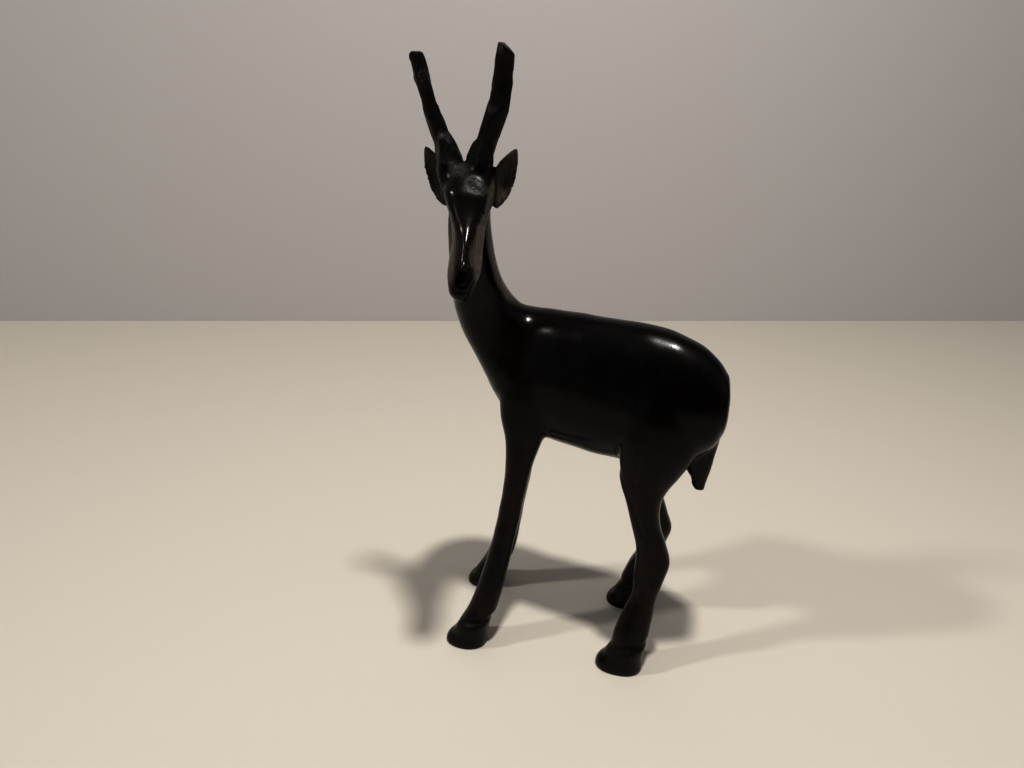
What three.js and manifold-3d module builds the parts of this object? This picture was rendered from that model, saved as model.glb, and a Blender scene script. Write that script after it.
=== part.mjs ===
// A hand-carved gazelle in dark polished hardwood, standing on its four hooves with its trunk
// turned a little to the right and its head to the left. It is one piece of wood: body, neck,
// head, horns, ears, legs and tail are roughed out as lofts and joined into a single solid.
// Millimetres, +Z up, soles on Z = 0. The body runs along X with the chest towards -X, and the
// face looks along -Y.
import * as THREE from "three";
import { mergeVertices } from "three/addons/utils/BufferGeometryUtils.js";
import Module from "manifold-3d";

// Driving sizes. Each form below keeps its profile as shares of these.
const backHeight = 118; // soles to the top of the back
const bodyLength = 81.4; // chest to rump
const bodyDepth = 47.5; // back to belly
const bodyWidth = 31;
const bodySetback = 13.9; // the middle of the body lies this far behind the middle of the stance
const haunchSetback = 31; // the trunk is turned about a point this far behind it
const chestAside = 12.1; // the turn carries the chest this far to the right
const chestDrop = 4.9; // and the back falls this far from the haunches to the chest
const stanceLength = 54.4; // front hooves to hind hooves
const stanceWidth = 34.6; // left hooves to right hooves
const forelegStagger = 2.4; // the right foreleg stands this far ahead of the left
const hindlegStagger = 0.8;
const crownHeight = 162.5; // soles to the top of the skull
const neckThickness = 14; // at the throat
const headLength = 33; // crown to chin, upright
const headReach = 24; // crown to chin, level
const headWidth = 14.2; // across the brows
const headSetForward = 22.8; // the top of the neck lies this far ahead of the stance's middle
const headSetAside = 11.4; // and this far to its left
const headTurn = 101; // degrees to the left of straight ahead
const hornLength = 32.2;
const brokenHornLength = 30.3; // the horn towards the chest has lost its point
const hornSpread = 24.8; // tip to tip
const hornWidth = 6.8; // at the root
const earLength = 16.7;
const earSpread = 26.4; // tip to tip
const tailLength = 35.5;
const legThickness = 8; // fore and aft at the middle of the leg
const foreHoofLength = 14;
const hindHoofLength = 15.4;
const hoofWidth = 11;

const X = new THREE.Vector3(1, 0, 0);
const Y = new THREE.Vector3(0, 1, 0);
const Z = new THREE.Vector3(0, 0, 1);

const chestX = bodySetback - bodyLength / 2;
const bellyHeight = backHeight - bodyDepth;
const halfBody = bodyWidth / 2;

// A closed skin over sections that all face the same way. A station is
// [x, y, z, ahead, behind, side]: the section's centre, its reach along +ahead and -ahead, and
// its half width along side. Stations are joined by smooth curves, and both ends are capped.
// squareness 2 is an ellipse, more is boxier, and less comes to a ridge.
function loft({ ahead, side, stations, sides, steps, squareness = 2 }) {
  const along = [0];
  for (let i = 1; i < stations.length; i++) {
    const [a, b] = [stations[i - 1], stations[i]].map((s) => new THREE.Vector3(...s));
    along.push(along[i - 1] + Math.max(a.distanceTo(b), 0.01));
  }
  const curve = new THREE.CubicInterpolant(along, stations.flat(), stations[0].length);
  const reach = along.at(-1);
  const position = [];
  const index = [];
  for (let ring = 0; ring <= steps; ring++) {
    const [x, y, z, front, back, half, square = squareness] = curve.evaluate((reach * ring) / steps);
    for (let k = 0; k < sides; k++) {
      const angle = (2 * Math.PI * k) / sides;
      const rounded = (value) => Math.sign(value) * Math.abs(value) ** (2 / square);
      const c = rounded(Math.cos(angle));
      const s = rounded(Math.sin(angle));
      const point = new THREE.Vector3(x, y, z)
        .addScaledVector(ahead, c * (c > 0 ? front : back))
        .addScaledVector(side, s * half);
      position.push(point.x, point.y, point.z);
    }
  }
  for (let ring = 0; ring < steps; ring++)
    for (let k = 0; k < sides; k++) {
      const a = ring * sides + k;
      const b = ring * sides + ((k + 1) % sides);
      index.push(a, b, b + sides, a, b + sides, a + sides);
    }
  for (const [ring, turn] of [[0, 1], [steps, 0]]) {
    const hub = position.length / 3;
    const middle = stations[ring ? stations.length - 1 : 0];
    position.push(middle[0], middle[1], middle[2]);
    for (let k = 0; k < sides; k++) {
      const rim = [ring * sides + k, ring * sides + ((k + 1) % sides)];
      index.push(hub, rim[turn], rim[1 - turn]);
    }
  }
  return solid(position, index);
}

const manifold = await Module();
manifold.setup();

// Vertices and triangles as a solid, turned to face outwards.
function solid(position, index) {
  const skin = new THREE.BufferGeometry();
  skin.setAttribute("position", new THREE.Float32BufferAttribute(position, 3));
  skin.setIndex(index);
  const merged = mergeVertices(skin, 1e-4);
  const vertProperties = merged.attributes.position.array;
  const triVerts = Uint32Array.from(merged.index.array);
  const make = () => new manifold.Manifold(new manifold.Mesh({ numProp: 3, vertProperties, triVerts }));
  const made = make();
  if (made.volume() > 0) return made;
  for (let i = 0; i < triVerts.length; i += 3)
    [triVerts[i + 1], triVerts[i + 2]] = [triVerts[i + 2], triVerts[i + 1]];
  return make();
}

// A place on a straight trunk, carried by the trunk's turn to the right and its fall to the chest.
function onTrunk(x, y, z) {
  const share = (haunchSetback - x) / (haunchSetback - chestX);
  return [x, y + share * chestAside, z - share * chestDrop];
}

// Barrel of the body, from chest to rump. Rows are shares of the body's own length, depth and
// width: [along from the chest, top of the section below the back, its underside, half width].
function body() {
  const profile = [
    [0.0, 0.32, 0.44, 0.2],
    [0.05, 0.1, 0.6, 0.56],
    [0.14, -0.02, 0.8, 0.81],
    [0.26, -0.015, 0.9, 0.94],
    [0.41, 0.005, 0.96, 0.99],
    [0.56, 0.035, 1.0, 1.0],
    [0.71, 0.065, 1.0, 1.0],
    [0.83, 0.13, 0.97, 0.93],
    [0.92, 0.225, 0.9, 0.79],
    [0.975, 0.34, 0.78, 0.6],
    [0.995, 0.43, 0.67, 0.4],
    [1.0, 0.52, 0.58, 0.12],
  ];
  const stations = profile.map(([along, top, under, wide]) => [
    ...onTrunk(chestX + along * bodyLength, 0, backHeight - ((top + under) / 2) * bodyDepth),
    ((under - top) / 2) * bodyDepth,
    ((under - top) / 2) * bodyDepth,
    wide * halfBody,
  ]);
  return loft({ ahead: Z, side: Y, stations, sides: 32, steps: 32, squareness: 2.15 });
}

// Neck, from inside the shoulders up into the back of the skull. Rows: [share of the way from the
// back to the crown, lean of the centre from the head's line as a share of the body's length,
// reach towards the chest, reach towards the withers, half width, bend to the left], the last
// four as shares of the neck's thickness at the throat. It rises out of the turned trunk on the
// right and bends over to the left.
const headX = -headSetForward;
const neckRise = crownHeight - backHeight;

function neck() {
  const profile = [
    [-0.68, 0.168, 0.94, 1.76, 0.97, -0.58],
    [-0.45, 0.075, 0.77, 1.77, 0.97, -0.68],
    [-0.245, 0.007, 0.73, 1.56, 0.86, -0.65],
    [-0.066, -0.034, 0.61, 1.02, 0.71, -0.47],
    [0.13, -0.048, 0.5, 0.69, 0.58, -0.165],
    [0.33, -0.041, 0.47, 0.55, 0.5, 0.19],
    [0.57, -0.028, 0.43, 0.48, 0.47, 0.58],
    [0.78, -0.009, 0.4, 0.4, 0.43, 0.86],
    [0.88, -0.003, 0.36, 0.36, 0.35, 0.98],
    [0.944, 0.003, 0.26, 0.26, 0.24, 1.06],
    [0.971, 0.003, 0.1, 0.1, 0.1, 1.1],
  ];
  const stations = profile.map(([rise, lean, front, back, wide, bend]) => [
    headX + lean * bodyLength,
    -bend * neckThickness,
    backHeight + rise * neckRise,
    front * neckThickness,
    back * neckThickness,
    wide * neckThickness,
  ]);
  const forward = X.clone().negate();
  return loft({ ahead: forward, side: Y, stations, sides: 24, steps: 20 });
}

// Head, from crown to chin, held forward and down, with a ridge down the nose. Rows: [share of
// the way down the head, share of the way out to the chin, reach to the front of the face, reach
// to the jaw, half width, squareness, shift across the face]. Reaches, width and shift are shares
// of half the brows' width.
const browHalf = headWidth / 2;
const turn = THREE.MathUtils.degToRad(headTurn);
const face = new THREE.Vector3(-Math.cos(turn), -Math.sin(turn), 0);
const acrossFace = new THREE.Vector3().crossVectors(Z, face);

function head() {
  const profile = [
    [0.0, 0.095, 0.16, 0.16, 0.2, 2, 0],
    [0.03, 0.118, 0.66, 0.9, 0.64, 2.1, 0],
    [0.09, 0.157, 0.86, 1.2, 0.92, 2.4, 0],
    [0.18, 0.234, 0.94, 1.45, 1.0, 2.6, 0],
    [0.28, 0.325, 0.94, 1.5, 0.93, 2.6, 0],
    [0.37, 0.42, 0.92, 1.35, 0.78, 2.3, 0],
    [0.45, 0.506, 0.92, 1.14, 0.67, 1.8, 0],
    [0.55, 0.618, 0.94, 1.06, 0.63, 1.5, 0],
    [0.65, 0.728, 0.94, 0.92, 0.63, 1.45, -0.03],
    [0.73, 0.82, 0.9, 0.78, 0.65, 1.55, -0.05],
    [0.8, 0.893, 0.78, 0.68, 0.63, 1.8, -0.09],
    [0.88, 0.953, 0.62, 0.56, 0.53, 2, -0.15],
    [0.95, 0.988, 0.46, 0.44, 0.42, 2, -0.18],
    [1.0, 1.0, 0.2, 0.18, 0.22, 2, -0.18],
  ];
  const stations = profile.map(([down, out, front, back, wide, square, across]) => [
    headX + face.x * out * headReach + across * browHalf,
    face.y * out * headReach - headSetAside,
    crownHeight - down * headLength,
    front * browHalf,
    back * browHalf,
    wide * browHalf,
    square,
  ]);
  return loft({ ahead: face, side: acrossFace, stations, sides: 24, steps: 26 });
}

// Slanting hollows cut under the brows, where the eyes are: places as shares of the head's
// length, half width and reach, half sizes in millimetres, slant in radians.
const eyeHollow = { down: 0.4, apart: 1.24, out: 0.66, length: 3.8, width: 1.4, depth: 2.0, slant: 0.6 };

function eyes() {
  const cuts = [-1, 1].map((hand) => {
    const ball = new THREE.SphereGeometry(1, 16, 10);
    ball.scale(eyeHollow.width, eyeHollow.depth, eyeHollow.length);
    ball.rotateY(hand * eyeHollow.slant);
    const place = face.clone().multiplyScalar(eyeHollow.out * headReach);
    place.addScaledVector(acrossFace, (hand * eyeHollow.apart * browHalf) / 2);
    ball.translate(headX + place.x, place.y - headSetAside, crownHeight - eyeHollow.down * headLength);
    return solid(Array.from(ball.attributes.position.array), Array.from(ball.index.array));
  });
  return cuts[0].add(cuts[1]);
}

// Knife-cut horns, springing from the crown, upright with their tips curling forward. hand is -1
// for the horn towards the chest and 1 for the other. Rows: [share of the horn's length, share of
// the spread, curl forward as a share of the length, thickness as a share of the horn's width].
const hornMiddle = headX - 1.2;

function horn(hand) {
  const length = hand < 0 ? brokenHornLength : hornLength;
  const profile = [
    [-0.2, 0.18, 0.137, 1.02],
    [0.0, 0.31, 0.093, 1.2],
    [0.22, 0.505, 0.088, 1.02],
    [0.44, 0.72, 0.082, 0.89],
    [0.67, 0.885, 0.099, 0.84],
    [0.89, 0.985, 0.136, 0.66],
    [1.0, 1.0, 0.161, 0.48],
  ];
  const stations = profile.map(([rise, out, curl, thick]) => [
    hornMiddle + (hand * out * hornSpread) / 2,
    -headSetAside - curl * length,
    crownHeight - 1 + rise * length,
    (thick * hornWidth) / 2,
    (thick * hornWidth) / 2,
    (thick * hornWidth) / 2,
  ]);
  return loft({ ahead: face, side: X, stations, sides: 8, steps: 8 });
}

// Leaf-shaped ears, hollow in front, set on the side of the head behind the brow. The one
// towards the chest is bowed outwards more. Rows: [share of the ear's length, bow, half width,
// hollow of the front, bulge of the back], the last four as shares of the ear's length.
function ear(hand) {
  const bowing = hand < 0 ? 0.4 : 0.1;
  const profile = [
    [0.0, 0.0, 0.15, 0.02, 0.16],
    [0.12, 0.02, 0.2, 0.0, 0.16],
    [0.32, 0.04, 0.23, -0.05, 0.16],
    [0.58, 0.04, 0.2, -0.05, 0.14],
    [0.82, 0.03, 0.115, 0.0, 0.1],
    [0.95, 0.01, 0.05, 0.02, 0.06],
    [1.0, 0.0, 0.02, 0.015, 0.02],
  ];
  const root = new THREE.Vector3(headX + hand * 0.75 * browHalf, -0.2 * browHalf, crownHeight - 11.1);
  const tip = new THREE.Vector3(headX + (hand * earSpread) / 2, -0.15 * browHalf, 0);
  root.y -= headSetAside;
  tip.y -= headSetAside;
  tip.z = root.z + Math.sqrt(Math.max(earLength ** 2 - (tip.x - root.x) ** 2, 1));
  const lie = tip.clone().sub(root).normalize();
  const outwards = new THREE.Vector3().crossVectors(lie, face).normalize().multiplyScalar(hand);
  const stations = profile.map(([reach, bow, wide, hollow, bulge]) => {
    const centre = root.clone().lerp(tip, reach);
    centre.addScaledVector(outwards, bowing * bow * earLength);
    return [...centre.toArray(), hollow * earLength, bulge * earLength, wide * earLength];
  });
  return loft({ ahead: face, side: outwards, stations, sides: 16, steps: 12 });
}

// A leg from its joint inside the body down to the flat sole. Rows, from the joint down:
// [share of the joint's height, bow of the leg backwards from the straight line as a share of
// that height, share of the way out to the hoof's track, ahead, behind, half width], the last
// three as shares of the leg's thickness.
function leg({ joint, hoofX, hand, profile, steps }) {
  const stations = profile.map(([rise, bow, track, front, back, wide]) => [
    THREE.MathUtils.lerp(hoofX, joint.x, rise) + bow * joint.z,
    THREE.MathUtils.lerp(joint.y, (hand * stanceWidth) / 2, track),
    rise * joint.z,
    front * legThickness,
    back * legThickness,
    wide * legThickness,
  ]);
  const forward = X.clone().negate();
  return loft({ ahead: forward, side: Y, stations, sides: 16, steps, squareness: 2.2 });
}

// A hoof's rows: a wedge that runs out to the toe over a flat sole. Same columns as a leg's rows.
function hoof(jointHeight, length) {
  const long = length / legThickness;
  const wide = hoofWidth / legThickness / 2;
  return [
    [8.5 / jointHeight, 0.018, 0.98, 0.35 * long, 0.35 * long, 0.9 * wide],
    [4.5 / jointHeight, 0.006, 1.0, 0.48 * long, 0.45 * long, wide],
    [1.2 / jointHeight, 0.0, 1.0, 0.53 * long, 0.49 * long, 1.04 * wide],
    [0, 0, 1.0, 0.52 * long, 0.48 * long, wide],
  ];
}

function foreleg(hand) {
  const stagger = (hand * forelegStagger) / 2;
  const place = onTrunk(-9.5 - stagger, hand * halfBody * 0.5, bellyHeight + 0.6 * bodyDepth);
  const joint = new THREE.Vector3(...place);
  const profile = [
    [1.0, 0.0, 0.0, 1.15, 1.15, 0.72],
    [0.86, 0.015, 0.12, 1.02, 1.1, 0.7],
    [0.77, 0.03, 0.2, 0.75, 0.82, 0.62],
    [0.69, 0.038, 0.29, 0.58, 0.58, 0.55],
    [0.58, 0.044, 0.4, 0.5, 0.48, 0.5],
    [0.48, 0.046, 0.5, 0.48, 0.47, 0.48],
    [0.4, 0.046, 0.6, 0.47, 0.46, 0.48],
    [0.3, 0.044, 0.72, 0.52, 0.5, 0.48],
    [0.2, 0.038, 0.85, 0.59, 0.58, 0.5],
    [0.13, 0.027, 0.94, 0.63, 0.62, 0.53],
    ...hoof(joint.z, foreHoofLength),
  ];
  const hoofX = -stanceLength / 2 - stagger;
  return leg({ joint, hoofX, hand, profile, steps: 26 });
}

function hindleg(hand) {
  const stagger = (hand * hindlegStagger) / 2;
  const place = onTrunk(35.6 - stagger, hand * halfBody * 0.5, bellyHeight + 0.64 * bodyDepth);
  const joint = new THREE.Vector3(...place);
  const profile = [
    [1.0, 0.0, 0.0, 1.1, 0.9, 0.5],
    [0.88, 0.003, 0.08, 1.42, 1.4, 0.84],
    [0.78, 0.0, 0.18, 1.42, 1.5, 0.86],
    [0.7, -0.01, 0.22, 1.2, 1.22, 0.76],
    [0.655, -0.013, 0.24, 0.98, 0.92, 0.68],
    [0.61, -0.011, 0.26, 0.75, 0.7, 0.6],
    [0.53, 0.004, 0.26, 0.6, 0.58, 0.52],
    [0.45, 0.034, 0.26, 0.64, 0.58, 0.5],
    [0.39, 0.048, 0.29, 0.68, 0.69, 0.5],
    [0.34, 0.048, 0.36, 0.66, 0.62, 0.48],
    [0.27, 0.043, 0.52, 0.54, 0.5, 0.45],
    [0.19, 0.028, 0.74, 0.64, 0.64, 0.49],
    [0.13, 0.02, 0.9, 0.74, 0.74, 0.54],
    ...hoof(joint.z, hindHoofLength),
  ];
  const hoofX = stanceLength / 2 - stagger;
  return leg({ joint, hoofX, hand, profile, steps: 30 });
}

// Tail, carved against the rump with only its point hanging free. Rows: [share of the tail's
// length, back of the tail from the rump's end, thickness through to the rump, half width].
function tail() {
  const rumpX = chestX + bodyLength;
  const profile = [
    [0.0, -0.9, 3.0, 2.2],
    [0.1, -0.2, 4.0, 2.4],
    [0.3, -0.5, 5.0, 2.6],
    [0.5, -1.8, 9.0, 2.9],
    [0.72, -3.0, 9.0, 2.8],
    [0.82, -3.6, 7.5, 2.4],
    [0.88, -4.0, 5.0, 1.9],
    [0.95, -4.8, 2.8, 1.3],
    [1.0, -5.0, 0.6, 0.5],
  ];
  const stations = profile.map(([down, end, through, wide]) => [
    ...onTrunk(rumpX + end - through / 2, 0, backHeight - 0.44 * bodyDepth - down * tailLength),
    through / 2,
    through / 2,
    wide,
  ]);
  return loft({ ahead: X, side: Y, stations, sides: 12, steps: 14 });
}

const hands = [-1, 1];
const forms = [body(), neck(), head(), tail()].concat(
  hands.map(horn),
  hands.map(ear),
  hands.map(foreleg),
  hands.map(hindleg),
);
const carving = forms.reduce((whole, form) => whole.add(form)).subtract(eyes());

// The solid as a mesh, with the middle of its outline over the origin and its soles on Z = 0.
function toMesh(name, made, material) {
  const { vertProperties, triVerts, numProp } = made.getMesh();
  const positions = new Float32Array((vertProperties.length / numProp) * 3);
  for (let i = 0; i < positions.length / 3; i++)
    positions.set(vertProperties.subarray(i * numProp, i * numProp + 3), i * 3);
  const geometry = new THREE.BufferGeometry();
  geometry.setAttribute("position", new THREE.BufferAttribute(positions, 3));
  geometry.setIndex(new THREE.BufferAttribute(triVerts, 1));
  geometry.computeBoundingBox();
  const { min, max } = geometry.boundingBox;
  geometry.translate(-(min.x + max.x) / 2, -(min.y + max.y) / 2, -min.z);
  geometry.computeVertexNormals();
  const mesh = new THREE.Mesh(geometry, material);
  mesh.name = name;
  return mesh;
}

const darkHardwood = new THREE.MeshStandardMaterial({ color: "#231915", roughness: 0.35, metalness: 0 });

const gazelle = new THREE.Group();
gazelle.add(toMesh("gazelle", carving, darkHardwood));

export default gazelle;
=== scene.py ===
import math

import bpy
import numpy as np
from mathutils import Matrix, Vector


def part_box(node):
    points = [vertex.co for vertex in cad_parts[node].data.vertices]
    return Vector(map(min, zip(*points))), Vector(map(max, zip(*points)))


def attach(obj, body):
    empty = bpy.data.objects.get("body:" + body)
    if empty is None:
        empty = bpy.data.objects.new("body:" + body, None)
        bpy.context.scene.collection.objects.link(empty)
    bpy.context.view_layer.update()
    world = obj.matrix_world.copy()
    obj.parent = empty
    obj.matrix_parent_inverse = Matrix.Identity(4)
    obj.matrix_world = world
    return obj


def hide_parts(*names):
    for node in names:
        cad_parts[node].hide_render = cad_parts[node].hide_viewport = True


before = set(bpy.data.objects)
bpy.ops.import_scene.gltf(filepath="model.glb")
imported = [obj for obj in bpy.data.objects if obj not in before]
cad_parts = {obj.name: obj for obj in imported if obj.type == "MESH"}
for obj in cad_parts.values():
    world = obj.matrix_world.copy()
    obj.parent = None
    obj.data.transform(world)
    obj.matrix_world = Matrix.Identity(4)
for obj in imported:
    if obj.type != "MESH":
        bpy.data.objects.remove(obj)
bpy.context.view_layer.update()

# The block of wood, roughed out. The real piece is one billet of African blackwood, hewn to a
# standing gazelle with its trunk turned to the right and its head to the left, its horns, ears,
# hooves and tail in the same wood. Lengths are in millimetres, with the soles on zero.
BACK_HEIGHT = 118
BODY_LENGTH = 81.4
BODY_DEPTH = 47.5
BODY_WIDTH = 31
BODY_SETBACK = 13.9
HAUNCH_SETBACK = 31
CHEST_ASIDE = 12.1
CHEST_DROP = 4.9
STANCE_LENGTH = 54.4
STANCE_WIDTH = 34.6
FORELEG_STAGGER = 2.4
HINDLEG_STAGGER = 0.8
CROWN_HEIGHT = 162.5
NECK_THICKNESS = 14
HEAD_LENGTH = 33
HEAD_REACH = 24
HEAD_WIDTH = 14.2
HEAD_X = -22.8
HEAD_ASIDE = 11.4
HEAD_TURN = math.radians(101)
HORN_LENGTHS = {-1: 30.3, 1: 32.2}
HORN_SPREAD = 24.8
HORN_WIDTH = 6.8
KNIFE_ALLOWANCE = 0.5
EAR_LENGTH = 17.3
EAR_SPREAD = 26.4
EAR_BOWING = {-1: 0.4, 1: 0.1}
TAIL_LENGTH = 35.5
LEG_THICKNESS = 8
FORE_HOOF_LENGTH = 14
HIND_HOOF_LENGTH = 15.4
HOOF_WIDTH = 11
CORONET_HEIGHT = 8.5
CORONET_SLOPE = 0.26

LENGTHWAYS = np.array([1.0, 0, 0])
SIDEWAYS = np.array([0, 1.0, 0])
UP = np.array([0, 0, 1.0])
FACE = np.array([-math.cos(HEAD_TURN), -math.sin(HEAD_TURN), 0])
ACROSS_FACE = np.cross(UP, FACE)

chest_x = BODY_SETBACK - BODY_LENGTH / 2
belly_height = BACK_HEIGHT - BODY_DEPTH
half_body = BODY_WIDTH / 2
brow_half = HEAD_WIDTH / 2


def sweep(stations, steps):
    """Stations read off at even steps along their path, joined by smooth curves."""
    rows = np.array(stations, float)
    gaps = np.linalg.norm(np.diff(rows[:, :3], axis=0), axis=1).clip(0.01)
    along = np.concatenate([[0], np.cumsum(gaps)])
    slope = np.diff(rows, axis=0) / gaps[:, None]
    lean = np.vstack([slope[:1], (slope[:-1] + slope[1:]) / 2, slope[-1:]])
    at = np.linspace(0, along[-1], steps + 1)
    i = np.clip(np.searchsorted(along, at, side="right") - 1, 0, len(gaps) - 1)
    gap = gaps[i][:, None]
    t = ((at - along[i]) / gaps[i])[:, None]
    through = rows[i] * (1 + 2 * t) * (1 - t) ** 2 + rows[i + 1] * t * t * (3 - 2 * t)
    return through + gap * t * (1 - t) * (lean[i] * (1 - t) - lean[i + 1] * t)


def loft(stations, ahead, side, squareness=2, sides=72, steps=140):
    """A closed skin over sections that face one way: points and faces.

    A station is x, y, z, reach ahead, reach behind, half width and, where it varies, squareness.
    """
    rows = sweep(stations, steps)
    centre, front, back, half = rows[:, :3], rows[:, 3:4], rows[:, 4:5], rows[:, 5:6]
    square = rows[:, 6:7] if rows.shape[1] > 6 else np.full_like(front, squareness)
    angle = np.linspace(0, 2 * math.pi, sides, endpoint=False)
    c, s = np.cos(angle), np.sin(angle)
    c = np.sign(c) * np.abs(c) ** (2 / square)
    s = np.sign(s) * np.abs(s) ** (2 / square)
    reach = c * np.where(c > 0, front, back)
    skin = centre[:, None] + reach[..., None] * ahead + (s * half)[..., None] * side
    points = np.vstack([skin.reshape(-1, 3), centre[:1], centre[-1:]])
    faces = []
    for k in range(sides):
        k1 = (k + 1) % sides
        faces += [(r + k, r + k1, r + sides + k1, r + sides + k) for r in range(0, steps * sides, sides)]
        last = steps * sides
        faces += [(last + sides, k1, k), (last + sides + 1, last + k, last + k1)]
    return points, faces


def between(value, low, high):
    """0 below low, 1 above high and a smooth ramp in between."""
    t = ((value - low) / (high - low)).clip(0, 1)
    return t * t * (3 - 2 * t)


def bump(value, middle, half):
    """A smooth swelling, 1 at the middle and 0 beyond the half width."""
    return (1 - ((value - middle) / half) ** 2).clip(0) ** 2


def whittle(points, sides, cuts, depth, reach, seed):
    """Flat knife cuts all round a lofted limb."""
    chance = np.random.RandomState(seed)
    rings = points[:-2].reshape(-1, sides, 3)
    middles = rings.mean(1)
    for _ in range(cuts):
        i = chance.randint(4, len(rings) - 4)
        spot = rings[i, chance.randint(sides)].copy()
        along = middles[i + 4] - middles[i - 4]
        along /= np.linalg.norm(along)
        out = spot - middles[i]
        out -= out @ along * along
        out /= np.linalg.norm(out)
        deep = depth * chance.uniform(0.4, 1)
        height = ((points - spot) @ out + deep).clip(0, deep)
        fade = 1 - between(np.linalg.norm(points - spot, axis=1), 0.6 * reach, reach)
        points -= np.outer(height * fade, out)


def on_trunk(x, y, z):
    """A place on a straight trunk, carried by its turn to the right and its fall to the chest."""
    share = (HAUNCH_SETBACK - x) / (HAUNCH_SETBACK - chest_x)
    return x, y + share * CHEST_ASIDE, z - share * CHEST_DROP


def body():
    profile = [
        (0.0, 0.32, 0.44, 0.2),
        (0.05, 0.1, 0.6, 0.56),
        (0.14, -0.02, 0.8, 0.81),
        (0.26, -0.015, 0.9, 0.94),
        (0.41, 0.005, 0.96, 0.99),
        (0.56, 0.035, 1.0, 1.0),
        (0.71, 0.065, 1.0, 1.0),
        (0.83, 0.13, 0.97, 0.93),
        (0.92, 0.225, 0.9, 0.79),
        (0.975, 0.34, 0.78, 0.6),
        (0.995, 0.43, 0.67, 0.4),
        (1.0, 0.52, 0.58, 0.12),
    ]
    stations = []
    for along, top, under, wide in profile:
        middle = BACK_HEIGHT - (top + under) / 2 * BODY_DEPTH
        reach = (under - top) / 2 * BODY_DEPTH
        place = on_trunk(chest_x + along * BODY_LENGTH, 0, middle)
        stations.append((*place, reach, reach, wide * half_body))
    points, faces = loft(stations, UP, SIDEWAYS, squareness=1.98)
    spine = on_trunk(points[:, 0], 0, 0)[1]
    lift = between(points[:, 2], 72, 106)
    points[:, 1] = spine + (points[:, 1] - spine) * (1.06 - 0.22 * lift)
    return points, faces


def neck():
    profile = [
        (-0.68, 0.168, 0.94, 1.76, 0.97, -0.58),
        (-0.45, 0.075, 0.77, 1.77, 0.97, -0.68),
        (-0.245, 0.007, 0.73, 1.56, 0.86, -0.65),
        (-0.066, -0.034, 0.61, 1.02, 0.71, -0.47),
        (0.13, -0.048, 0.5, 0.69, 0.58, -0.165),
        (0.33, -0.041, 0.47, 0.55, 0.5, 0.19),
        (0.57, -0.028, 0.43, 0.48, 0.47, 0.58),
        (0.78, -0.009, 0.4, 0.4, 0.43, 0.86),
        (0.88, -0.003, 0.36, 0.36, 0.35, 0.98),
        (0.944, 0.003, 0.26, 0.26, 0.24, 1.06),
        (0.971, 0.003, 0.1, 0.1, 0.1, 1.1),
    ]
    stations = []
    for rise, lean, front, back, wide, bend in profile:
        z = BACK_HEIGHT + rise * (CROWN_HEIGHT - BACK_HEIGHT)
        girth = [share * NECK_THICKNESS for share in (front, back, wide)]
        stations.append((HEAD_X + lean * BODY_LENGTH, -bend * NECK_THICKNESS, z, *girth))
    return loft(stations, -LENGTHWAYS, SIDEWAYS)


def head():
    profile = [
        (0.0, 0.095, 0.16, 0.16, 0.2, 2, 0),
        (0.03, 0.118, 0.56, 0.9, 0.64, 2.1, 0),
        (0.09, 0.157, 0.77, 1.2, 0.92, 2.4, 0),
        (0.18, 0.234, 0.94, 1.45, 1.0, 2.6, 0),
        (0.28, 0.325, 0.94, 1.5, 0.93, 2.6, 0),
        (0.37, 0.42, 0.92, 1.35, 0.78, 2.3, 0),
        (0.45, 0.506, 0.92, 1.14, 0.67, 1.8, 0),
        (0.55, 0.618, 0.94, 1.06, 0.63, 1.5, 0),
        (0.65, 0.728, 0.94, 0.92, 0.63, 1.45, -0.03),
        (0.73, 0.82, 0.9, 0.78, 0.65, 1.55, -0.05),
        (0.8, 0.893, 0.78, 0.68, 0.63, 1.8, -0.09),
        (0.88, 0.953, 0.62, 0.56, 0.53, 2, -0.15),
        (0.95, 0.988, 0.46, 0.44, 0.42, 2, -0.18),
        (1.0, 1.0, 0.2, 0.18, 0.22, 2, -0.18),
    ]
    stations = []
    for down, out, front, back, wide, square, across in profile:
        x, y, _ = FACE * out * HEAD_REACH + (HEAD_X + across * brow_half, -HEAD_ASIDE, 0)
        girth = [share * brow_half for share in (front, back, wide)]
        stations.append((x, y, CROWN_HEIGHT - down * HEAD_LENGTH, *girth, square))
    return loft(stations, FACE, ACROSS_FACE)


def horn(hand):
    """One horn in knife cuts, the right one's broken tip a chisel and the left one's ragged."""
    length = HORN_LENGTHS[hand]
    profile = [
        (-0.2, 0.18, 0.18, 1.02),
        (0.0, 0.31, 0.12, 1.2),
        (0.22, 0.505, 0.088, 0.96),
        (0.44, 0.72, 0.082, 0.89),
        (0.67, 0.885, 0.099, 0.84),
        (0.89, 0.985, 0.136, 0.66),
        (1.0, 1.0, 0.161, 0.4),
    ]
    stations = []
    for rise, out, curl, thick in profile:
        x = HEAD_X - 1.2 + hand * out * HORN_SPREAD / 2
        half = thick * HORN_WIDTH / 2 + KNIFE_ALLOWANCE
        place = (x, -HEAD_ASIDE - curl * length, CROWN_HEIGHT - 1 + rise * length)
        stations.append((*place, half, half, half))
    points, faces = loft(stations, FACE, LENGTHWAYS, sides=48, steps=100)
    whittle(points, 48, cuts=26, depth=0.8, reach=8, seed=5 + hand)
    whittle(points, 48, cuts=24, depth=0.4, reach=4, seed=9 + hand)
    top = points[:, 2].max()
    past_tip = points[:, 0] - points[points[:, 2] > top - 0.5, 0].min()
    lost = 1.1 * (past_tip - 1).clip(0) if hand > 0 else 0.25 + 0.25 * np.sin(4 * past_tip)
    points[:, 2] = np.minimum(points[:, 2], top - lost.clip(max=3.5))
    return points, faces


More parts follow.
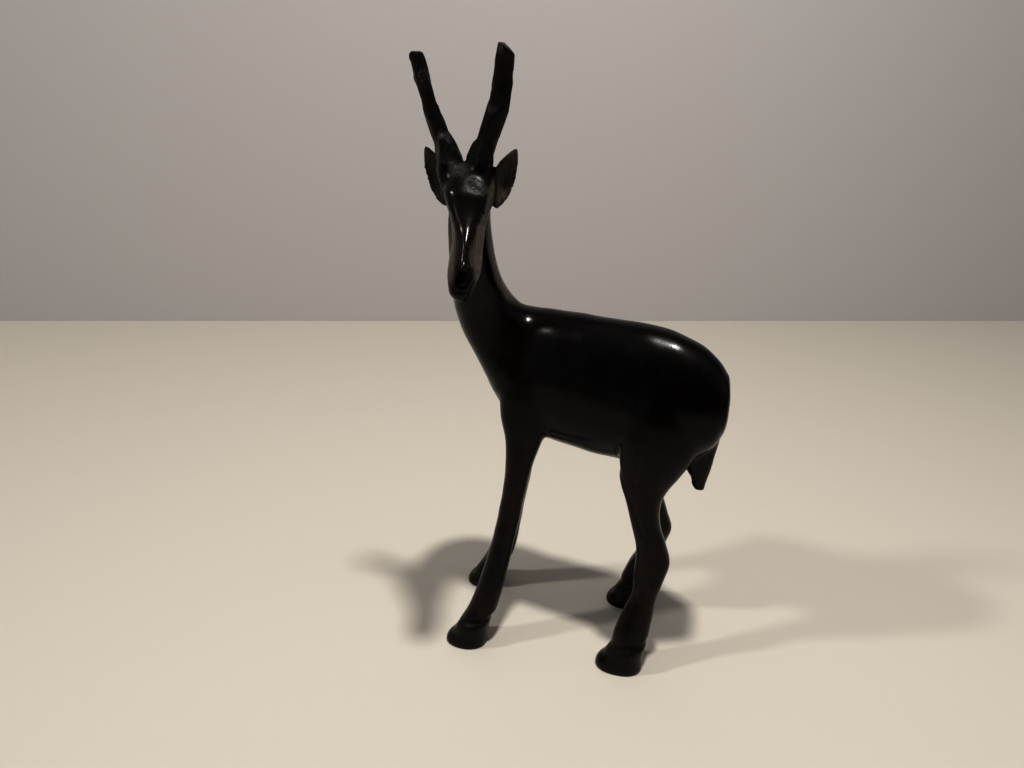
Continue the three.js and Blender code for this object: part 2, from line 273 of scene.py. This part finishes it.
def ear(hand):
    profile = [
        (0.0, 0.0, 0.15, 0.02, 0.16),
        (0.12, 0.02, 0.2, 0.0, 0.16),
        (0.32, 0.04, 0.23, -0.08, 0.16),
        (0.58, 0.04, 0.2, -0.08, 0.14),
        (0.82, 0.03, 0.115, 0.0, 0.1),
        (0.95, 0.01, 0.05, 0.02, 0.06),
        (1.0, 0.0, 0.02, 0.015, 0.02),
    ]
    aside = -HEAD_ASIDE - 0.2 * brow_half
    root = np.array([HEAD_X + hand * 0.75 * brow_half, aside, CROWN_HEIGHT - 11.1])
    tip = np.array([HEAD_X + hand * EAR_SPREAD / 2, aside + 0.05 * brow_half, 0])
    tip[2] = root[2] + math.sqrt(EAR_LENGTH**2 - (tip[0] - root[0]) ** 2)
    lie = (tip - root) / np.linalg.norm(tip - root)
    outwards = hand * np.cross(lie, FACE)
    outwards /= np.linalg.norm(outwards)
    stations = []
    for reach, bow, wide, hollow, bulge in profile:
        centre = root + (tip - root) * reach + outwards * EAR_BOWING[hand] * bow * EAR_LENGTH
        stations.append((*centre, hollow * EAR_LENGTH, bulge * EAR_LENGTH, wide * EAR_LENGTH))
    return loft(stations, FACE, outwards, sides=64, steps=100)


def leg(joint, hoof_x, hoof_length, hand, profile):
    long, wide = hoof_length / LEG_THICKNESS, HOOF_WIDTH / LEG_THICKNESS / 2
    hoof = [
        (9.6 / joint[2], 0.02, 0.97, 0.41 * long, 0.36 * long, 0.82 * wide),
        (8.4 / joint[2], 0.018, 0.99, 0.43 * long, 0.38 * long, 0.95 * wide),
        (4.5 / joint[2], 0.006, 1.0, 0.46 * long, 0.44 * long, wide),
        (1.2 / joint[2], 0.0, 1.0, 0.53 * long, 0.49 * long, 1.04 * wide),
        (0, 0, 1.0, 0.52 * long, 0.48 * long, wide),
    ]
    stations = []
    for rise, bow, track, front, back, half in profile + hoof:
        x = hoof_x + rise * (joint[0] - hoof_x) + bow * joint[2]
        y = joint[1] + track * (hand * STANCE_WIDTH / 2 - joint[1])
        stations.append((x, y, rise * joint[2], *(LEG_THICKNESS * r for r in (front, back, half))))
    points, faces = loft(stations, -LENGTHWAYS, SIDEWAYS, squareness=2.2, sides=56, steps=220)
    ledge = bump(points[:, 2], CORONET_HEIGHT, 6)
    points[:, 2] += CORONET_SLOPE * (points[:, 0] - hoof_x) * ledge
    return points, faces


def foreleg(hand):
    stagger = hand * FORELEG_STAGGER / 2
    joint = on_trunk(-9.5 - stagger, hand * half_body * 0.5, belly_height + 0.6 * BODY_DEPTH)
    profile = [
        (1.0, 0.0, 0.0, 1.15, 1.15, 0.72),
        (0.86, 0.015, 0.12, 1.02, 1.1, 0.7),
        (0.77, 0.03, 0.2, 0.75, 0.82, 0.62),
        (0.69, 0.038, 0.29, 0.58, 0.58, 0.55),
        (0.58, 0.044, 0.4, 0.5, 0.48, 0.5),
        (0.48, 0.046, 0.5, 0.48, 0.47, 0.48),
        (0.4, 0.046, 0.6, 0.47, 0.46, 0.48),
        (0.3, 0.044, 0.72, 0.52, 0.5, 0.48),
        (0.2, 0.038, 0.85, 0.59, 0.58, 0.5),
        (0.13, 0.027, 0.94, 0.63, 0.62, 0.53),
    ]
    return leg(joint, -STANCE_LENGTH / 2 - stagger, FORE_HOOF_LENGTH, hand, profile)


def hindleg(hand):
    stagger = hand * HINDLEG_STAGGER / 2
    joint = on_trunk(35.6 - stagger, hand * half_body * 0.5, belly_height + 0.64 * BODY_DEPTH)
    profile = [
        (1.0, 0.0, 0.0, 1.1, 0.9, 0.5),
        (0.88, 0.003, 0.08, 1.42, 1.4, 0.84),
        (0.78, 0.0, 0.18, 1.42, 1.5, 0.86),
        (0.7, -0.01, 0.22, 1.2, 1.22, 0.76),
        (0.655, -0.013, 0.24, 0.98, 0.92, 0.68),
        (0.61, -0.011, 0.26, 0.75, 0.7, 0.6),
        (0.53, 0.004, 0.26, 0.6, 0.58, 0.52),
        (0.45, 0.034, 0.26, 0.64, 0.58, 0.5),
        (0.39, 0.048, 0.29, 0.68, 0.69, 0.5),
        (0.34, 0.048, 0.36, 0.66, 0.62, 0.48),
        (0.27, 0.043, 0.52, 0.54, 0.5, 0.45),
        (0.19, 0.028, 0.74, 0.64, 0.64, 0.49),
        (0.13, 0.02, 0.9, 0.72, 0.72, 0.54),
    ]
    return leg(joint, STANCE_LENGTH / 2 - stagger, HIND_HOOF_LENGTH, hand, profile)


def tail():
    profile = [
        (0.0, -0.9, 3.0, 2.2),
        (0.1, -0.2, 4.0, 2.4),
        (0.3, -0.5, 5.0, 2.6),
        (0.5, -1.8, 9.0, 2.9),
        (0.72, -3.0, 9.0, 2.8),
        (0.82, -3.6, 7.5, 2.4),
        (0.88, -4.1, 5.4, 1.9),
        (0.95, -4.7, 4.2, 1.5),
        (1.0, -5.0, 2.8, 1.0),
    ]
    stations = []
    for down, end, through, wide in profile:
        x = chest_x + BODY_LENGTH + end - through / 2
        place = on_trunk(x, 0, BACK_HEIGHT - 0.44 * BODY_DEPTH - down * TAIL_LENGTH)
        stations.append((*place, through / 2, through / 2, wide))
    return loft(stations, LENGTHWAYS, SIDEWAYS, sides=40, steps=100)


def mesh_of(name, points, faces):
    mesh = bpy.data.meshes.new(name)
    mesh.from_pydata(points.tolist(), [], faces)
    mesh.update()
    return mesh


def finished_mesh(mesh, kind, **settings):
    """The mesh after one modifier."""
    carrier = bpy.data.objects.new(mesh.name, mesh)
    bpy.context.scene.collection.objects.link(carrier)
    modifier = carrier.modifiers.new("work", kind)
    for key, value in settings.items():
        setattr(modifier, key, value)
    depsgraph = bpy.context.evaluated_depsgraph_get()
    made = bpy.data.meshes.new_from_object(carrier.evaluated_get(depsgraph))
    bpy.data.objects.remove(carrier)
    return made


forms = [body(), neck(), head(), tail()]
for hand in (-1, 1):
    forms += [horn(hand), ear(hand), foreleg(hand), hindleg(hand)]
points, faces, start = [], [], 0
for form_points, form_faces in forms:
    points.append(form_points)
    faces += [tuple(start + i for i in face) for face in form_faces]
    start += len(form_points)
points = np.vstack(points)
VOXEL = 0.36
block = finished_mesh(mesh_of("block", points, faces), "REMESH", mode="VOXEL", voxel_size=VOXEL)

# Carving and sanding. The creases between the limbs and the trunk are eased with a gouge and
# sandpaper, and the brow, the nose and the lips are cut in. The whole surface keeps the slight
# waves of sanding by hand.
TRIANGLES = 190000
WITHERS = np.array([-11, 1.5, 113.8])


def read(mesh, what, name, kind, width):
    values = np.empty(len(what) * width, kind)
    what.foreach_get(name, values)
    return values.reshape(-1, width)


def points_of(mesh):
    return read(mesh, mesh.vertices, "co", np.float32, 3).astype(float)


def relax(points, edges, weight, rounds):
    """Points drawn towards their neighbours' mean, which eases creases."""
    count = len(points)
    a, b = edges.T
    degree = np.bincount(edges.ravel(), minlength=count)
    for _ in range(rounds):
        for axis in range(points.shape[1]):
            value = points[:, axis]
            total = np.bincount(a, value[b], count) + np.bincount(b, value[a], count)
            value += weight * (total / degree - value)


points = points_of(block)
edges = read(block, block.edges, "vertices", np.int32, 2)
normals = read(block, block.vertex_normals, "vector", np.float32, 3).astype(float)
x, _, z = points.T
drawn = points.copy()
relax(drawn, edges, 1, 1)
hollow = between(((drawn - points) * normals).sum(1), 0.03 * VOXEL, 0.12 * VOXEL)[:, None].copy()
relax(hollow, edges, 0.6, round(1.8 / VOXEL**2))
barrel = between(x, -22, -10) * (1 - between(x, 46, 54)) * between(z, 64, 76) * (1 - between(z, 112, 122))
on_ear = between(z, 148, 151) * between(np.abs(x - HEAD_X), 7, 8.5) * (1 - between(z, 168, 170))
on_crown = between(z, 156, 159) * (1 - between(z, 161, 163.5)) * (1 - between(np.abs(x - HEAD_X), 8, 9))
weight = np.maximum((hollow[:, 0] * 3).clip(0, 0.6), np.maximum(0.5 * barrel, 0.6 * on_crown))
relax(points, edges, weight * (1 - 0.9 * on_ear), round(10 / VOXEL**2))
relax(points, edges, 0.5 * on_ear, 4)
from_withers = np.linalg.norm(points - WITHERS, axis=1)
points += 0.8 * bump(from_withers, 0, 5.5)[:, None] * normals
withers = 1 - between(from_withers, 4, 11)
relax(points, edges, 0.9 * withers, round(16 / VOXEL**2))

# Places on the head: across it, down from the crown and out along the face. The brow's shield
# stands proud of the eye sockets, a sharp ridge runs down the nose to its tip, and the nose pad
# is a drop-shaped hollow over the lips and the chin.
across = (points - (HEAD_X, -HEAD_ASIDE, 0)) @ ACROSS_FACE
out = (points - (HEAD_X, -HEAD_ASIDE, 0)) @ FACE
down = CROWN_HEIGHT - points[:, 2]
front = between(normals @ FACE, -0.1, 0.3) * between(out, 4, 6)
on_head = (down > 1) & (down < 34) & (np.abs(across) < 8.2) & (out > 4)
SHIELD_DOWN = [0, 3, 6.3, 9.5, 12, 14, 17]
SHIELD_HALF = [7.6, 7.3, 6.7, 5.7, 4.7, 3.9, 3.2]
shield = np.interp(down, SHIELD_DOWN, SHIELD_HALF)
sockets = between(np.abs(across), shield - 0.15, shield + 0.25)
sockets *= between(down, 7, 11) * (1 - between(down, 14, 18))
ridge_line = np.interp(down, [14.5, 17, 19.5, 23.5], [0.6, 0.3, 0.1, 0])
ridge = (1 - np.hypot(across - ridge_line, 0.4) / 3).clip(0)
ridge *= between(down, 14, 18) * (1 - between(down, 23.2, 24.6))
cheeks = bump(np.abs(across), 4.4, 1.7) * between(down, 15, 18) * (1 - between(down, 24, 28))
tip = bump(across + 0.3, 0, 1.4) * bump(down, 23.4, 1.6)
pad_width = np.interp(down, [23.2, 24.5, 27, 28.6, 29.2], [0.3, 1.2, 1.8, 1.3, 0.2])
pad = (1 - ((across + 0.5) / pad_width) ** 2).clip(0)
pad *= between(down, 23.4, 24.6) * (1 - between(down, 28.4, 29.3))
lips = bump(across + 0.6 * (down - 27), 0, 0.7) * bump(down, 27, 2.2)
chin = bump(down, 29.7, 0.8) * (1 - between(np.abs(across), 2.4, 3.6))
raised = 0.8 * ridge + 0.3 * tip + 0.25 * lips
cut = 0.9 * sockets + 0.4 * cheeks + 0.5 * pad + 0.2 * chin
points += np.where(on_head, front * (raised - cut), 0)[:, None] * FACE

# A shallow gouge line sets off the thigh's front edge.
edge = np.interp(points[:, 2], [48, 56, 64, 72, 80], [30.6, 27.6, 24.2, 20.6, 19])
groove = bump(points[:, 0] - edge, 2.4, 1.2) * (points[:, 1] < -4) * between(points[:, 2], 48, 54)
groove *= 1 - between(points[:, 2], 76, 84)
points -= (0.6 * groove)[:, None] * normals

# Sanding by hand leaves the surface a little wavy.
chance = np.random.RandomState(3)
waves = chance.normal(size=(12, 3))
waves *= 2 * math.pi / (np.linalg.norm(waves, axis=1) * chance.uniform(7, 14, 12))[:, None]
wavy = np.sin(points @ waves.T + chance.uniform(0, 6, 12)).sum(1)
points += (0.022 * wavy * (1 - on_ear))[:, None] * normals

box_low, box_high = (np.array(corner) * 1000 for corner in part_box("gazelle"))
shift = (box_low + box_high) / 2 - (points.min(0) + points.max(0)) / 2
points += (shift[0], shift[1], 0)
points = points.clip(box_low, box_high)
block.vertices.foreach_set("co", (points / 1000).astype(np.float32).ravel())
block.update()
block.shade_smooth()
gazelle_mesh = finished_mesh(block, "DECIMATE", ratio=min(1, TRIANGLES / (2 * len(block.polygons))))
gazelle = bpy.data.objects.new("gazelle_carved", gazelle_mesh)
bpy.context.scene.collection.objects.link(gazelle)

# Finish. The wood is waxed, nearly black with a low gloss, and brown in the legs and the neck, with painted
# shade on the throat below the jaw. The cheeks' planes and the nape get painted light in a pale grey-brown
# laid in the grain, and the ears the same tone, partly dust and partly painted light. Handling has worn the
# horns' fork and tips; the brow's edges and a patch on the forehead are pale, partly wear and partly painted
# highlight. The horns, the insides of the ears and the ledges over the hooves are dull knife cuts.
finished = points_of(gazelle_mesh) * 1000 - (shift[0], shift[1], 0)
x, _, z = finished.T
skin_normals = read(gazelle_mesh, gazelle_mesh.vertex_normals, "vector", np.float32, 3).astype(float)
face_side = skin_normals @ FACE


def spot(centre, half):
    """1 at a place on the carving, fading to 0 at a distance of half from it."""
    return 1 - between(np.linalg.norm(finished - centre, axis=1), 0.3 * half, half)


def keep_as(name, values):
    """Stores a number for each point, for the material to read."""
    layer = gazelle_mesh.attributes.new(name, "FLOAT", "POINT")
    layer.data.foreach_set("value", values.clip(0, 1).astype(np.float32))


crown = np.array([HEAD_X, -HEAD_ASIDE, CROWN_HEIGHT])
forehead = np.array([-18.1, -21.8, 158])
fork = np.array([-24.5, -18, 161.5])
horn_top = z.max()
right_tip = finished[(x > HEAD_X) & (z > horn_top - 1.5)].mean(0)
left_tip = finished[(x < HEAD_X) & (z > horn_top - 4)].mean(0)
on_horns = between(z, CROWN_HEIGHT - 1, CROWN_HEIGHT + 2) * between(np.abs(x - HEAD_X + 1.3), 0.5, 3)
on_ears = between(z, 148, 150) * between(np.abs(x - HEAD_X), 7, 8) * (1 - between(z, 168, 170))
on_legs = (1 - between(z, 62, 92)) * between(z, 3, 12)
on_neck = between(z, 90, 118) * (1 - between(z, 146, 156)) * (1 - between(x, -14, -4))
across = (finished - crown) @ ACROSS_FACE
down = CROWN_HEIGHT - z
# The brow's edges are pale, partly wear and partly a painted highlight along the edges.
rim = bump(np.abs(across) - np.interp(down, SHIELD_DOWN, SHIELD_HALF), -0.2, 0.9) * (face_side > 0)
rim *= between(down, 5, 8) * (1 - between(down, 13, 16)) * ((finished - crown) @ FACE > 4)
# The forehead's patch is pale grey in specks, partly wear and partly the lamp's highlight painted as scuffs.
patch = spot(forehead, 3.4)
for drift, half in ((1.6, 2.6), (-1.7, 2.9)):
    patch = np.maximum(patch, spot(forehead + (drift, 0.2, -0.8 * drift), half))
marks = 0.4 * spot(fork, 3.2) + 1.4 * spot(right_tip, 3) + 0.5 * spot(left_tip - 6 * UP, 4.5)
keep_as("wear_and_painted_highlight", 0.2 * patch + rim + marks)
# Painted light: the cheeks' side planes and a band up the nape, placed by the way the surface faces, get the
# pale grey-brown of planes that catch the light; the fronts of the ears get the same tone, partly dust in
# their grain and partly painted light.
on_muzzle = between(down, 13, 16) * (1 - between(down, 27, 29)) * ((finished - crown) @ FACE > 6)
cheeks = on_muzzle * (between(across, 2.4, 3.2) + 0.6 * between(-across, 2.2, 3.4)) * (face_side > -0.2)
turned = np.degrees(np.arctan2(skin_normals[:, 1], skin_normals[:, 0]))
# Painted shade: the throat's side below the jaw, placed by the way the surface faces, loses its brown and
# stays near black.
throat_shade = between(turned, -68, -58) * (1 - between(turned, -30, -20)) * (1 - between(z, 134, 138))
nape_painted_light = on_neck * between(turned, -32, -18) * (1 - between(turned, 40, 60)) * between(z, 116, 122)
keep_as("dust_and_painted_light", cheeks * (1 - on_ears) + 0.8 * nape_painted_light + 0.6 * on_ears * between(face_side, 0, 0.3))
keep_as("brown", 0.8 * on_legs + 0.7 * on_neck * (1 - throat_shade) + 0.8 * on_ears * (face_side > 0))
hoof_middle = np.where(x < 0, -27, 27)
ledge_height = z - CORONET_SLOPE * (x - hoof_middle)
dull_head = patch + spot(fork, 4) + 0.3 * spot(crown, 12)
dull_ears = 0.8 * on_ears * between(face_side, -0.2, 0.3)
keep_as("dull", 0.6 * on_horns + dull_ears + dull_head + 0.7 * bump(ledge_height, CORONET_HEIGHT, 2.5))


def linear(hex_colour):
    """An sRGB hex colour as linear RGBA."""
    channels = [int(hex_colour[i:i + 2], 16) / 255 for i in (1, 3, 5)]
    return (*(c / 12.92 if c <= 0.04045 else ((c + 0.055) / 1.055) ** 2.4 for c in channels), 1)


def new_material(name):
    material = bpy.data.materials.new(name)
    material.use_nodes = True
    return material


def add_node(tree, kind, inputs=None, **settings):
    """Adds a node with its settings, input values and links."""
    made = tree.nodes.new(kind)
    for key, value in settings.items():
        setattr(made, key, value)
    for key, value in (inputs or {}).items():
        if isinstance(value, bpy.types.NodeSocket):
            tree.links.new(value, made.inputs[key])
        else:
            made.inputs[key].default_value = value
    return made


# African blackwood, carved and waxed: a nearly black heartwood with fibres half a millimetre
# apart along the billet, broad bands of brown, and a waxed sheen that breaks up over the grain.
FIBRE = 0.0005
BAND = 0.006
SPECK = 0.0009
wood = new_material("African blackwood, carved and waxed")
tree = wood.node_tree
shader = tree.nodes["Principled BSDF"]
place = add_node(tree, "ShaderNodeTexCoord").outputs["Object"]
along_grain = add_node(tree, "ShaderNodeMapping", {"Vector": place, "Scale": (1, 1, 0.05)}).outputs["Vector"]
fibres = add_node(tree, "ShaderNodeTexNoise", {"Vector": along_grain, "Scale": 1 / FIBRE, "Detail": 3})
broad = add_node(tree, "ShaderNodeMapping", {"Vector": place, "Scale": (1, 1, 0.3)}).outputs["Vector"]
bands = add_node(tree, "ShaderNodeTexNoise", {"Vector": broad, "Scale": 1 / BAND, "Detail": 2})
specks = add_node(tree, "ShaderNodeTexNoise", {"Vector": place, "Scale": 1 / SPECK, "Detail": 2})
brown, dust_and_painted_light, wear_and_painted_highlight, dull = (
    add_node(tree, "ShaderNodeAttribute", attribute_name=name).outputs["Fac"]
    for name in ("brown", "dust_and_painted_light", "wear_and_painted_highlight", "dull")
)
streaks, banding, pitting, speckling = (
    add_node(
        tree, "ShaderNodeMapRange", {"Value": noise.outputs["Fac"], "From Min": low, "From Max": high}
    ).outputs["Result"]
    for noise, low, high in (
        (fibres, 0.38, 0.7),
        (bands, 0.35, 0.65),
        (specks, 0.2, 0.6),
        (specks, 0.4, 0.6),
    )
)
tinted = add_node(tree, "ShaderNodeMath", {0: brown, 1: banding}, operation="MULTIPLY").outputs[0]
grained = add_node(tree, "ShaderNodeMath", {0: streaks, 1: 0.25}, operation="ADD").outputs[0]
browned = add_node(tree, "ShaderNodeMath", {0: tinted, 1: grained}, operation="MULTIPLY").outputs[0]
furrows = add_node(tree, "ShaderNodeMath", {0: streaks, 1: 0.5}, operation="MULTIPLY").outputs[0]
lodged = add_node(tree, "ShaderNodeMath", {0: furrows, 1: 0.4}, operation="ADD").outputs[0]
dust_and_painted_light_mix = add_node(tree, "ShaderNodeMath", {0: dust_and_painted_light, 1: lodged}, operation="MULTIPLY").outputs[0]
greyed = add_node(tree, "ShaderNodeMath", {0: wear_and_painted_highlight, 1: speckling}, operation="MULTIPLY").outputs[0]

# Dark fibres under light ones, then the brown heartwood, the dust and painted light, and the wear and
# painted highlights.
colour = linear("#030202")
for amount, hex_colour in (
    (streaks, "#0e0806"),
    (browned, "#2a160e"),
    (dust_and_painted_light_mix, "#6e665e"),
    (greyed, "#5a534d"),
):
    layers = {0: amount, 6: colour, 7: linear(hex_colour)}
    colour = add_node(tree, "ShaderNodeMix", layers, data_type="RGBA").outputs[2]
tree.links.new(colour, shader.inputs["Base Color"])

# The wax is uneven, and knife cuts and worn places are rougher than it.
waxed = {0: bands.outputs["Fac"], 1: 0.16, 2: 0.14}
roughness = add_node(tree, "ShaderNodeMath", waxed, operation="MULTIPLY_ADD").outputs[0]
unwaxed = add_node(tree, "ShaderNodeMath", {0: dull, 1: pitting}, operation="MULTIPLY").outputs[0]
for amount, extra in ((unwaxed, 0.6), (greyed, 0.3)):
    rougher = {0: amount, 1: extra, 2: roughness}
    roughness = add_node(tree, "ShaderNodeMath", rougher, operation="MULTIPLY_ADD").outputs[0]
tree.links.new(roughness, shader.inputs["Roughness"])
shader.inputs["IOR"].default_value = 1.46
shader.inputs["Specular IOR Level"].default_value = 0.26
grain = {0: specks.outputs["Fac"], 1: dull, 2: fibres.outputs["Fac"]}
relief = add_node(tree, "ShaderNodeMath", grain, operation="MULTIPLY_ADD").outputs[0]
bumps = add_node(tree, "ShaderNodeBump", {"Height": relief, "Strength": 0.25, "Distance": 0.00008})
tree.links.new(bumps.outputs["Normal"], shader.inputs["Normal"])
gazelle.data.materials.clear()
gazelle.data.materials.append(wood)
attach(gazelle, "root")
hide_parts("gazelle")

# Table, wall, lamps and camera, which aren't part of the carving. One small lamp hangs close
# overhead and a weaker one stands far to the left, as in the photograph.
CAMERA_PLACE = Vector((0.0347, -0.223, 0.19))
CAMERA_TURN = math.radians(13.8)
CAMERA_PITCH = math.radians(22.5)
LENS = 27.77
WALL_DISTANCE = 0.587

scene = bpy.context.scene
scene.view_settings.view_transform = "Standard"
scene.view_settings.exposure = 0.26
scene.view_settings.gamma = 0.7
into_picture = Vector((-math.sin(CAMERA_TURN), math.cos(CAMERA_TURN), 0))
along_wall = Vector((math.cos(CAMERA_TURN), math.sin(CAMERA_TURN), 0))
wall_foot = Vector((CAMERA_PLACE.x, CAMERA_PLACE.y, 0)) + into_picture * WALL_DISTANCE


def plane(name, corners, hex_colour):
    mesh = mesh_of(name, np.array(corners, float), [tuple(range(len(corners)))])
    thing = bpy.data.objects.new(name, mesh)
    scene.collection.objects.link(thing)
    material = new_material(name + " paint")
    paint = material.node_tree.nodes["Principled BSDF"]
    paint.inputs["Base Color"].default_value = linear(hex_colour)
    paint.inputs["Roughness"].default_value = 0.7
    paint.inputs["Specular IOR Level"].default_value = 0.2
    mesh.materials.append(material)


wall_ends = [wall_foot + along_wall * reach for reach in (-3, 3)]
plane("table", [(-3, -3, 0), (3, -3, 0), (3, 3, 0), (-3, 3, 0)], "#ccc7be")
plane("wall", [*wall_ends, wall_ends[1] + Vector((0, 0, 3)), wall_ends[0] + Vector((0, 0, 3))], "#c9c6c6")


def lamp(name, place, aim, size, watts, hex_colour):
    data = bpy.data.lights.new(name, "AREA")
    data.shape = "DISK"
    data.energy = watts
    data.size = size
    data.color = linear(hex_colour)[:3]
    thing = bpy.data.objects.new(name, data)
    thing.location = place
    thing.rotation_euler = (Vector(aim) - Vector(place)).to_track_quat("-Z", "Y").to_euler()
    scene.collection.objects.link(thing)


lamp("overhead lamp", (0.067, -0.095, 0.679), (0, 0, 0), 0.045, 3.1, "#fffbf6")
lamp("left lamp", (-1.02, -0.492, 1.138), (0, 0, 0), 0.12, 6.2, "#fffbf6")
world = bpy.data.worlds.new("room")
world.use_nodes = True
sky = world.node_tree.nodes["Background"]
sky.inputs["Color"].default_value = linear("#d6d6d6")
# The room is lit from its sides, and is darkest on the near side of the table.
looking = add_node(world.node_tree, "ShaderNodeTexCoord").outputs["Generated"]
ahead = add_node(
    world.node_tree, "ShaderNodeVectorMath", {0: looking, 1: -into_picture}, operation="DOT_PRODUCT"
)
shade = {"Value": ahead.outputs["Value"], "From Min": 0.35, "From Max": 0.9, "To Min": 0.45, "To Max": 0.06}
dimmed = add_node(world.node_tree, "ShaderNodeMapRange", shade, interpolation_type="SMOOTHSTEP")
world.node_tree.links.new(dimmed.outputs["Result"], sky.inputs["Strength"])
scene.world = world

camera_data = bpy.data.cameras.new("camera")
camera_data.lens = LENS
camera_data.clip_start = 0.01
camera = bpy.data.objects.new("camera", camera_data)
camera.location = CAMERA_PLACE
camera.rotation_euler = (math.radians(90) - CAMERA_PITCH, 0, CAMERA_TURN)
scene.collection.objects.link(camera)
scene.camera = camera
